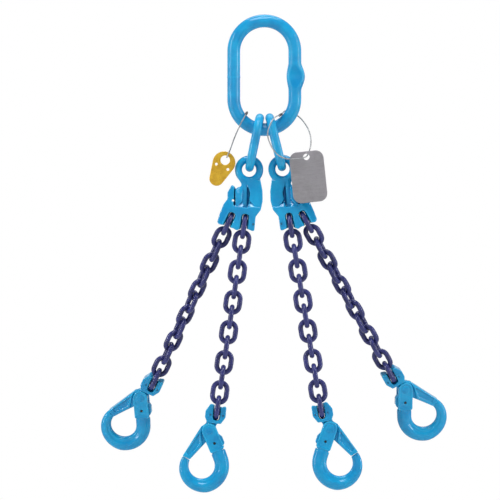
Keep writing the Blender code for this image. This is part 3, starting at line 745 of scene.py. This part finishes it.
def roll_pin_mesh(radius, half):
    """A slotted spring pin: a C-shaped sleeve."""
    wall, slit = radius * 0.42, 22
    outer = arc((0, 0), radius, slit, 360 - slit, 20)
    inner = arc((0, 0), radius - wall, 360 - slit, slit, 20)
    return plate(outer + inner, -half, half)


def build_roll_pins(name, mesh, spots, body, place, side):
    """The ends of the roll pins, which are all that shows of them."""
    for index, spot in enumerate(spots):
        piece(f"roll_pin_{name}_{index + 1}", moved(mesh.copy(), Matrix.Translation(spot)), ROLL_STEEL,
              body, place, side)


# ---- clutches ----

# Millimetres, from the middle of the eye
CLUTCH_HALF = 13
SHELF = -60
POCKET_TOP = -27
LOBE_START, LOBE_STOP = 10.4, 21.4


def between(value, *stops):
    """A line through (place, level) stops, level beyond both ends."""
    if value <= stops[0][0]:
        return stops[0][1]
    for (low, a), (high, b) in zip(stops, stops[1:]):
        if value <= high:
            return a + (b - a) * (value - low) / (high - low)
    return stops[-1][1]


def ramp(value, low, high):
    """From 0 at low to 1 at high, eased at both ends."""
    share = max(0.0, min(1.0, (value - low) / (high - low)))
    return share * share * (3 - 2 * share)


def pressed(mesh, height):
    """Flattens the skin onto y = height(x, z), all in millimetres, wherever it stands further out."""
    for vertex in mesh.vertices:
        x, y, z = vertex.co / MM
        limit = height(x, z)
        if abs(y) > limit - 1:
            vertex.co.y = math.copysign(soft_min(abs(y), limit, 1.0), y) * MM
    return mesh


def horn_height(x, z):
    """The horn thins evenly outwards from the outer socket's middle line."""
    out = ((x - SOCKET_OUTER.x / MM) * math.cos(OUTER_SOCKET_TILT)
           + (z - SOCKET_OUTER.z / MM) * math.sin(OUTER_SOCKET_TILT))
    return max(4.5, 12.8 - 0.55 * max(0.0, out - 7))


def recess_height(x, z, neck):
    """The floor of the hollow between the lobes, with a round strap down its outer part."""
    floor, middle, half_width, base, bulge = 2.5, 6.4, 4.4, 4.2, 3
    strap = base + bulge * math.sqrt(max(0.0, 1 - ((x - middle) / half_width) ** 2))
    if z > POCKET_TOP:
        strap = max(strap, neck - 2)
    return strap if x > 2.2 else floor


def on_facet(x, z):
    """Whether a point is on one of the two triangles that lean back from the shelf's edge."""
    rise = (z - SHELF) / 12
    return rise > 0 and (0 < (x - 9) / 11 < 1 - rise or 0 < (-0.5 - x) / 12 < 1 - rise)


def clutch_face(x, z):
    """How far the clutch's faces stand from its middle plane, in millimetres: from the wall outwards
    come the hollow, the lobe and the horn, all above a shelf, with the sockets below it."""
    neck = between(z, (-60, 11.8), (-40, 9.8), (-24, 7.8), (-17.5, 7.3), (-12, 3))
    wall = between(z, (-58, 1.3), (-49, -0.8), (-36, -1.6), (-22, 3.5), (-16, 8))
    horn, recess = horn_height(x, z), recess_height(x, z, neck)
    if x < wall:
        high = neck - 0.6 * ramp(x, wall - 3, wall)
    elif x < LOBE_START:
        high = recess
    elif x >= LOBE_STOP:
        high = horn
    elif z < POCKET_TOP:
        high = 12 - 1.3 * ((x - 15.6) / 5.6) ** 2 - 5 * ramp(z, POCKET_TOP - 11, POCKET_TOP)
    else:
        high = min(neck, recess)
    if on_facet(x, z):
        high = max(recess, CLUTCH_HALF - 0.75 * (z - SHELF))
    low = CLUTCH_HALF - 0.5 * abs(ramp(x, 11, 16) - ramp(x, 16, 22)) * ramp(z, -84, -64)
    low = min(low, horn + 0.6)
    return low + (high - low) * ramp(z, SHELF - 0.4, SHELF + 1.2)


def slot_cuts(head, foot, ledge, width):
    """A chain's slot, close to the link in the middle and opened out on both faces beyond the ledge."""
    snug, lower, lap, sharp = BAR / 2 + GAP, 0.8 * MM, 1 * MM, 0.1 * MM
    cuts = []
    for half, top, low, high in ((snug, head - lower, -ledge - lap, ledge + lap),
                                 (width / 2, head, ledge, FAR), (width / 2, head, -FAR, -ledge)):
        outline = rounded([(-half, top), (-half, foot), (half, foot), (half, top)],
                          [half * 0.95, sharp, sharp, half * 0.95], 6)
        cuts.append(plate(outline, low, high))
    return cuts


def clutch_mesh():
    """Eye, neck, two lobes with a shortening pocket between, a horn and two sockets."""
    body = rounded(millimetres(
        (-17.5, -13), (-21.5, -33), (-22, -49), (-19, -63.5), (-11, -74), (-9.2, -96.4), (-6, -96.8),
        (2, -93.5), (12, -93), (19, -96), (26, -91.5), (26, -60), (21.3, -57), (21.3, -31), (17.5, -27.6),
        (12.2, -26.5), (12, -22), (19, -12)), 2 * MM)
    wing = rounded(millimetres(
        (-9.5, -9), (3, -9.5), (12.5, -12.5), (16.5, -10), (18.5, 4), (19.5, 20), (17.3, 29), (21.8, 39),
        (20.8, 53), (14.5, 52), (8, 36), (-8, 30), (-14, 20)), 1.6 * MM)
    half = CLUTCH_HALF * MM
    solids = [plate(body, -half, half), moved(plate(wing, -half, half), socket_frame(True))]
    cuts = []
    for outer in (False, True):
        slots = slot_cuts(CLEVIS_HEAD, -FAR, 6 * MM, 12.4 * MM)
        cuts += [moved(slot, socket_frame(outer)) for slot in slots]
    # A groove between the lobe and the horn, and a hole beside its foot
    groove = rounded(millimetres((21.3, -20), (21.3, -57), (24.2, -57), (22.8, -20)), 0.6 * MM)
    cuts.append(plate(groove, -FAR, 1 * MM))
    cuts.append(cylinder(2 * MM, -FAR, FAR, Vector((24.9, 0, -48.5)) * MM))
    forging = pressed(forged(solids, cuts, rounds=1), clutch_face)
    return forged([forging, eye_mesh()])


def squared(angle, power):
    """A point of a unit circle, drawn towards a square by a power below one."""
    return (math.copysign(abs(math.cos(angle)) ** power, math.cos(angle)),
            math.copysign(abs(math.sin(angle)) ** power, math.sin(angle)))


def eye_mesh():
    """The ring that hangs on the sublink, with a full, nearly round section."""
    outer, hole, half = 22.6 * MM, 11 * MM, 7.5 * MM
    middle, reach = (outer + hole) / 2, (outer - hole) / 2
    ring = [Vector((x, 0, z)) for x, z in circle((0, 0), middle, 72)]

    def section(index, angle):
        u, v = squared(angle, 0.86)
        return u * reach, v * half

    return swept(ring, section, 24)


def build_clutches():
    mesh = clutch_mesh()
    load_pin = pin_mesh(PIN_RADIUS, -14.4 * MM, 10.8 * MM, "X")
    roll = roll_pin_mesh(1.5 * MM, 0.5 * MM)
    roll_spots = [Vector((-7, y, -86)) * MM for y in (-CLUTCH_HALF, CLUTCH_HALF)]
    for side in (LEFT, RIGHT):
        word = side_word(side)
        body = f"clutch_{word}"
        place = clutch_frame(side)
        piece(f"forged_clutch_{word}", mesh, BLUE, body, place, side,
              stands_for=[f"clutch_{word}"])
        for outer in (False, True):
            leg_name = f"{'outer' if outer else 'inner'}_{word}"
            turn = Matrix.Rotation(math.pi, 4, "Z") if outer else Matrix.Identity(4)
            in_socket = moved(load_pin.copy(), socket_frame(outer) @ turn)
            piece(f"load_pin_clutch_{leg_name}", in_socket, PIN_STEEL, body, place, side,
                  stands_for=[f"clutch_pin_{leg_name}"])
        build_roll_pins(f"clutch_{word}", roll, roll_spots, body, place, side)


# ---- hooks ----

def bowl_mesh():
    """The hook's bowl, from inside the fork to the tip, full in the middle and slim at the tip."""
    shank = shank_frame()
    route = [shank @ Vector((0, 0, -depth)) for depth in (27 * MM, 31 * MM, 35 * MM, 39 * MM)]
    radii = [BOWL_THICK / 2 * share for share in (0.93, 0.95, 0.97, 0.99)]
    start, stop, taper_from = math.pi - SHANK_ANGLE, 2 * math.pi + TIP_ANGLE, 1.4 * math.pi
    steps = 60
    for step in range(steps + 1):
        angle = start + (stop - start) * step / steps
        share = max(0.0, (angle - taper_from) / (stop - taper_from))
        thick = BOWL_THICK + (TIP_THICK - BOWL_THICK) * share
        radius = thick / 2 - GAP
        route.append(BOWL_CENTRE + Vector((math.cos(angle), 0, math.sin(angle))) * (BOWL_RADIUS + radius))
        radii.append(radius)

    def section(index, angle):
        """An oval with a shallow groove along the inner half of each side."""
        radius = radii[index]
        u, v = squared(angle, 0.9)
        groove = math.exp(-((u + 0.45) / 0.2) ** 2) * ramp(index, 4, 12) * ramp(index, 58, 50)
        return u * radius, v * 0.84 * radius * (1 - 0.2 * groove)

    return swept(route, section, 48, closed=False)


def hook_body_mesh():
    """Forked shank fused to the bowl, with a sunk panel on each cheek."""
    half, corner, inset, sunk = 10.1 * MM, 1.5 * MM, 2.2 * MM, 0.7 * MM
    shank = shank_frame()
    cheeks = arc((0, 0), CHEEK_RADIUS, 0, 180, 20)
    cheeks += [(-CHEEK_RADIUS, corner - FORK_LENGTH), (corner - CHEEK_RADIUS, -FORK_LENGTH),
               (CHEEK_RADIUS - corner, -FORK_LENGTH), (CHEEK_RADIUS, corner - FORK_LENGTH)]
    fork = moved(plate(cheeks, -half, half), shank)
    slot = box((-30 * MM, -CHEEK_GAP / 2, -FORK_LENGTH - 2 * MM), (30 * MM, CHEEK_GAP / 2, 30 * MM))
    bore = cylinder(2 * MM, -20 * MM, 20 * MM, (0, 0, -TRIGGER_DROP))
    panel = arc((0, 0), CHEEK_RADIUS - inset, 0, 180, 20)
    panel += [(inset - CHEEK_RADIUS, inset - FORK_LENGTH), (CHEEK_RADIUS - inset, inset - FORK_LENGTH)]
    cuts = [slot, bore, plate(panel, half - sunk, half + 2 * MM), plate(panel, -half - 2 * MM, sunk - half)]
    return forged([bowl_mesh(), fork], [moved(mesh, shank) for mesh in cuts])


def tip_point(radius, lift):
    """A point above the hook's tip, at a radius from the middle of the bowl."""
    out = Vector((math.cos(TIP_ANGLE), 0, math.sin(TIP_ANGLE)))
    up = Vector((-math.sin(TIP_ANGLE), 0, math.cos(TIP_ANGLE)))
    place = BOWL_CENTRE + out * radius + up * lift
    return place.x, place.z


def yoke_mesh():
    """The clevis round the chain's last link, peaked in front and behind."""
    pin_x, pin_z = HOOK_PIN.x, HOOK_PIN.z
    back, front, deep = pin_x - 14.5 * MM, pin_x + 18 * MM, 10 * MM
    ears = [(back + 7 * MM, pin_z + 8 * MM), (back + 2 * MM, pin_z + 10 * MM), (back, pin_z + 7 * MM),
            (back, 23 * MM), (-17 * MM, 12.3 * MM), (4.5 * MM, 12.3 * MM), (front, 21 * MM),
            (front, pin_z), (pin_x + 11 * MM, pin_z + 11.8 * MM), (pin_x + 7.6 * MM, pin_z + 11.4 * MM)]
    return plate(rounded(ears, 1.6 * MM, 4), -deep, deep)


def latch_mesh():
    """Yoke for the chain, neck, lug between the cheeks and the ribbed arm down to the hook's tip."""
    tip = [tip_point(BOWL_RADIUS + TIP_THICK, 2 * GAP), tip_point(BOWL_RADIUS + 0.4 * MM, 2 * GAP)]
    half, arm_half, rib, outside = LUG_THICK / 2, 7.6 * MM, 5.9 * MM, 12 * MM
    lug = cylinder(11.2 * MM, -half, half)
    web = plate([*millimetres((-2, 12.2), (6, 11.4), (13.4, 5.4)), *tip,
                 *millimetres((2.5, -17.5), (-3, -6))], -half, half)
    bar = [*millimetres((13.2, 3.6)), *tip, *millimetres((8.8, -22.8), (12.6, -8))]
    arm = plate(rounded(bar, 1.2 * MM), -arm_half, arm_half)
    neck = plate(millimetres((-12, 15.5), (-9, 5), (7, 5), (6, 15.5)), -half, half)
    upside_down = Matrix.Translation(HOOK_PIN) @ Matrix.Rotation(math.pi, 4, "Y")
    cuts = [moved(slot, upside_down) for slot in slot_cuts(14 * MM, -30 * MM, 4 * MM, 11.6 * MM)]
    recess = rounded(millimetres((15.0, -4.0), (33.6, -38.0), (27.2, -42.2), (12.6, -22.0)), 2 * MM, 4)
    cuts += [plate(recess, rib, outside), plate(recess, -outside, -rib)]
    return forged([lug, web, arm, neck, yoke_mesh()], cuts)


def trigger_mesh():
    """Release lever between the cheeks; its thumb edge stands proud of the shank."""
    back = -(CHEEK_RADIUS + TRIGGER_PROUD)
    outline = [(2 * MM, -14 * MM), (2.5 * MM, -25 * MM), (-3 * MM, -28 * MM), (back + 2 * MM, -29 * MM),
               (back, -26 * MM), (back, -16 * MM), (-11.6 * MM, -9.5 * MM), (-9 * MM, -10 * MM)]
    half = LUG_THICK / 2 - 0.2 * MM
    lever = plate(rounded(outline, 1 * MM), -half, half)
    return moved(forged([lever], voxel=0.6 * MM, rounds=2), shank_frame())


def spring_mesh():
    """Small compression spring under the trigger's foot."""
    turns, radius, top, bottom, middle = 4, 2.2 * MM, -31.6 * MM, -35.2 * MM, -6 * MM
    steps = turns * 20
    points = []
    for step in range(steps + 1):
        angle = 2 * math.pi * turns * step / steps
        z = top + (bottom - top) * step / steps
        points.append(Vector((middle + radius * math.cos(angle), radius * math.sin(angle), z)))
    return moved(tube(points, 0.38 * MM), shank_frame())


def build_hooks():
    hook, latch, trigger, spring = hook_body_mesh(), latch_mesh(), trigger_mesh(), spring_mesh()
    rivet = rivet_mesh(7 * MM, 10.2 * MM, 1.2 * MM)
    small_pin = moved(pin_mesh(1.75 * MM, -9.6 * MM, 9.6 * MM, "Y", 0.3 * MM),
                      shank_frame() @ Matrix.Translation((0, 0, -TRIGGER_DROP)))
    load_pin = moved(pin_mesh(PIN_RADIUS, -14.4 * MM, 15.9 * MM, "X"), Matrix.Translation(HOOK_PIN))
    roll = roll_pin_mesh(1.4 * MM, 0.2 * MM)
    roll_spots = [HOOK_PIN + Vector((x, y, -5.5)) * MM for y in (-10, 10) for x in (-10.08, 10.08)]
    # Name, shape, look, body, slot and the CAD node that it replaces
    parts = (
        ("forged_hook", hook, BLUE, "hook", "blue_paint", "hook"),
        ("forged_latch", latch, BLUE, "latch", "blue_paint", "latch"),
        ("rivet", rivet, BLUE, "latch", "pivot_paint", "hook_pivot"),
        ("load_pin_hook", load_pin, PIN_STEEL, "latch", "pin_steel", "load_pin"),
        ("trigger_lever", trigger, BLUE, "trigger", "blue_paint", "trigger"),
        ("trigger_rivet", small_pin, ROLL_STEEL, "hook", "pin_steel", "trigger_pin"),
        ("trigger_coil", spring, WIRE_STEEL, "hook", "spring_steel", "trigger_spring"),
    )
    for leg_name, leg in LEGS.items():
        side, place = leg["side"], hook_frame(leg_name)
        for name, mesh, look, body, slot, node in parts:
            piece(f"{name}_{leg_name}", mesh, look, f"{body}_{leg_name}", place, side,
                  stands_for=[f"{node}_{leg_name}"])
        build_roll_pins(f"hook_{leg_name}", roll, roll_spots, f"latch_{leg_name}", place, side)


# ---- tags ----

WIRE = 2 * MM
FERRULE_LENGTH = {"id_tag": 8 * MM, "inspection_tag": 6 * MM}
FERRULE_RADIUS = 2.1 * MM
ID_TAG_SIZE = Vector((54, 0, 81)) * MM
ID_TAG_CORNER = 13 * MM
ID_TAG_HOLE_RADIUS = 5 * MM
INSPECTION_HOLE_RADIUS = 7.4 * MM
INSPECTION_WIDE = 18 * MM
INSPECTION_NARROW = 11.5 * MM
INSPECTION_SPAN = 27.5 * MM     # between the centres of the egg's two ends
TAG_THICK = 1.6 * MM


def id_wire_route():
    """A round loop round the master link's right bend, hand-laid in front of the right sublink."""
    stops = [(25.6, -9, -138.2), (17.2, -21.5, -142), (9.8, -32, -152.5), (5.2, -37, -167),
             (7.3, -37, -180.5), (14, -35, -193.5), (21, -33, -201.5), (31.5, -30, -207),
             (44, -27.5, -208.6), (56, -26, -207.4), (62.3, -24.5, -205.8), (66.3, -20.5, -204),
             (69.5, -16, -198.5), (73, -10.5, -187), (73.2, -3, -173), (68.6, 5, -159),
             (60.5, 12, -146.5), (52, 16, -138.5), (43.5, 16, -132), (35, 9, -131), (30.5, 0.5, -133)]
    return smooth_route([Vector(stop) * MM for stop in stops], 16)


def inspection_wire_route():
    """A narrow loop over the master link's left bend and through the inspection tag's hole."""
    stops = [(-28.2, -7.5, -136), (-31.5, -12.6, -142), (-37, -14.6, -152), (-46, -14, -172),
             (-53, -13.4, -190.5), (-57.2, -12.8, -201), (-59.2, -9, -205.4), (-57.6, -5.2, -202.5),
             (-53.5, -3, -192), (-46.5, 6, -172), (-37.5, 14.4, -153), (-30, 12.6, -139), (-26.8, 2, -133)]
    return smooth_route([Vector(stop) * MM for stop in stops], 18)


def twisted_wire(route, radius, strands=6, lay=9 * MM):
    """Strands laid round each other along a closed route."""
    count = len(route)
    length = sum((route[i] - route[i - 1]).length for i in range(count))
    turns = round(length / lay)
    strand = radius / (1 + 1 / math.sin(math.pi / strands))
    reach = radius - strand
    pressed_together = 1.08
    walked = 0.0
    places = []
    side = Vector((0, 1, 0))
    for i in range(count):
        along = (route[(i + 1) % count] - route[i - 1]).normalized()
        side = (side - side.dot(along) * along).normalized()
        places.append((route[i], side.copy(), along.cross(side), walked / length))
        walked += (route[(i + 1) % count] - route[i]).length
    lines = []
    for k in range(strands):
        phase = 2 * math.pi * k / strands
        line = []
        for centre, one, other, share in places:
            angle = phase + 2 * math.pi * turns * share
            line.append(centre + (one * math.cos(angle) + other * math.sin(angle)) * reach)
        lines.append(tube(line, strand * pressed_together, 6, closed=True))
    return joined(lines)


def ferrule_mesh(half, radius):
    """A sleeve crimped flat in two places."""
    stations, sides = 24, 24
    rings = []
    for i in range(stations + 1):
        z = -half + 2 * half * i / stations
        squeeze = sum(math.exp(-((z - s * half * 0.42) / (half * 0.2)) ** 2) for s in (-1, 1))
        lip = 1 - 0.25 * (abs(z) / half) ** 12
        ring = []
        for j in range(sides):
            angle = 2 * math.pi * j / sides
            ring.append(Vector((radius * lip * (1 + 0.07 * squeeze) * math.cos(angle),
                                radius * lip * (1 - 0.26 * squeeze) * math.sin(angle), z)))
        rings.append(ring)
    return skin(rings, False)


def build_wire(name, route):
    """A wire's loop and the sleeve crimped round its two ends, at the route's start."""
    body, half = f"{name}_wire", FERRULE_LENGTH[name] / 2
    piece(f"stranded_{name}_wire", twisted_wire(route, WIRE / 2), WIRE_STEEL, body,
          stands_for=[f"{name}_wire"])
    along = (route[1] - route[-1]).normalized()
    place = Matrix.Translation(route[0]) @ along.to_track_quat("Z", "Y").to_matrix().to_4x4()
    piece(f"crimped_{name}_ferrule", ferrule_mesh(half, FERRULE_RADIUS), FERRULE_STEEL, body,
          place, stands_for=[f"{name}_ferrule"])


def warped(mesh, amount, scale):
    """Slight dents and a bow across a thin plate."""
    for point in mesh.vertices:
        spot = Vector((point.co.x, 0, point.co.z)) * scale
        point.co.y += amount * noise.noise(spot)
    return mesh


def fine_plate(outline, holes, thick):
    """A thin plate with rounded rims and enough inner points to take dents."""
    made = placed("fine", plate(outline, -thick / 2, thick / 2, holes))
    add_remesh(made, TAG_VOXEL)
    add_smooth(made, 2)
    return mesh_of(made)


def tag_frame(name):
    """Origin in the tag's hole, X along its hinge and Z up its face."""
    hinge = joint_axis(f"{name}_swing")
    return frame_at(joint_point(f"{name}_swing"), hinge, Vector((0, 1, 0)).cross(hinge) * -1)


def build_id_tag():
    """A plate with rounded corners and a hole above its middle."""
    half_x, half_z, corner = ID_TAG_SIZE.x / 2, ID_TAG_SIZE.z / 2, ID_TAG_CORNER
    outline = []
    for sign_x, sign_z, start in ((1, 1, 0), (-1, 1, 90), (-1, -1, 180), (1, -1, 270)):
        centre = (sign_x * (half_x - corner), sign_z * (half_z - corner))
        outline += arc(centre, corner, start, start + 90, 10)
    hole_drop = 9 * MM
    hole = (0, half_z - hole_drop)
    mesh = fine_plate(outline, [circle(hole, ID_TAG_HOLE_RADIUS, 36)], TAG_THICK)
    moved(mesh, Matrix.Translation((0, 0, -hole[1])))
    warped(mesh, 0.5 * MM, 35)
    piece("id_plate", mesh, TAG_STEEL, "id_tag", tag_frame("id_tag"),
          stands_for=["id_tag"], grained=True)


def build_inspection_tag():
    """An egg-shaped plate with one large hole and two small ones below it."""
    wide, narrow, span, hole_z = INSPECTION_WIDE, INSPECTION_NARROW, INSPECTION_SPAN, 4.5 * MM
    small_x, small_z, small_radius = 10 * MM, -7 * MM, 2.2 * MM
    slope = math.degrees(math.asin((wide - narrow) / span))
    outline = arc((0, 0), wide, -slope, 180 + slope, 28)
    outline += arc((0, -span), narrow, 180 + slope, 360 - slope, 16)
    holes = [circle((0, hole_z), INSPECTION_HOLE_RADIUS, 36)]
    holes += [circle((x, small_z), small_radius, 24) for x in (-small_x, small_x)]
    mesh = fine_plate(outline, holes, TAG_THICK)
    moved(mesh, Matrix.Translation((0, 0, -hole_z)))
    warped(mesh, 0.4 * MM, 60)
    piece("inspection_plate", mesh, TAG_GOLD, "inspection_tag", tag_frame("inspection_tag"),
          stands_for=["inspection_tag"], grained=True)


# ---- stage ----

# Metres
FLOOR_HEIGHT = -1.2     # well below the hanging sling
FLOOR_RADIUS = 9
LIGHTS_AIM = Vector((0, 0, -0.35))
VIEW_X, VIEW_Z = -0.0226, -0.3513


def build_camera():
    """A level camera, straight on and far off, so that the legs keep their proportions."""
    distance, shown = 8.0, 0.789    # from the sling, and across the picture
    data = bpy.data.cameras.new("camera")
    data.sensor_width = 36
    data.lens = data.sensor_width * distance / shown
    camera = placed("camera", data)
    camera.location = (VIEW_X, -distance, VIEW_Z)
    camera.rotation_euler = (math.pi / 2, 0, 0)
    bpy.context.scene.camera = camera


def area_light(name, place, size, power):
    """A softbox of a power in watts that faces the sling and stays out of the picture."""
    data = bpy.data.lights.new(name, "AREA")
    data.shape = "RECTANGLE"
    data.size, data.size_y = size
    data.energy = power
    lamp = placed(name, data)
    lamp.location = place
    lamp.rotation_euler = (LIGHTS_AIM - Vector(place)).to_track_quat("-Z", "Y").to_euler()
    lamp.visible_camera = False


def build_lights():
    area_light("key", (-0.3, -2.0, 2.4), (1.2, 1.2), 26)
    area_light("top", (0.1, -0.7, 2.2), (2.2, 0.28), 30)
    area_light("left_strip", (-2.5, -1.0, 0.1), (0.16, 2.8), 36)
    area_light("right_strip", (2.5, -0.9, 0.1), (0.16, 2.8), 36)
    area_light("top_rim", (0, 1.2, 2.2), (2.4, 0.4), 20)


def build_world():
    """A grey room, from 0.62 at eye height to 0.2 above and below, with a white wall behind the sling."""
    world = bpy.data.worlds.new("studio")
    world.use_nodes = True
    nodes = Nodes(world.node_tree)
    direction = nodes.node("ShaderNodeTexCoord").outputs["Generated"]
    split = nodes.node("ShaderNodeSeparateXYZ", {0: direction})
    room = nodes.range(nodes.math("ABSOLUTE", split.outputs["Z"]), 0.1, 0.4, 0.62, 0.2)
    wall = nodes.range(split.outputs["Y"], 0.88, 0.95)
    nodes.feed(nodes.tree.nodes["Background"].inputs["Color"], nodes.math("MAXIMUM", room, wall))
    bpy.context.scene.world = world


def build_floor():
    look = Look("pale_floor", Roughness=0.8, Base_Color=rgb(0.82, 0.82, 0.82))
    form = bmesh.new()
    bmesh.ops.create_circle(form, cap_ends=True, segments=96, radius=FLOOR_RADIUS)
    mesh = moved(finished(form), Matrix.Translation((0, 0, FLOOR_HEIGHT)))
    mesh.materials.append(look.material)
    floor = placed("floor", mesh)


def build_stage():
    build_camera()
    build_lights()
    build_world()
    build_floor()
    bpy.context.scene.view_settings.view_transform = "Standard"


# ---- assembly ----

def build():
    build_master()
    for side in (LEFT, RIGHT):
        build_sublink(side)
    build_clutches()
    build_chains()
    build_hooks()
    build_wire("id_tag", id_wire_route())
    build_wire("inspection_tag", inspection_wire_route())
    build_id_tag()
    build_inspection_tag()
    build_stage()


build()
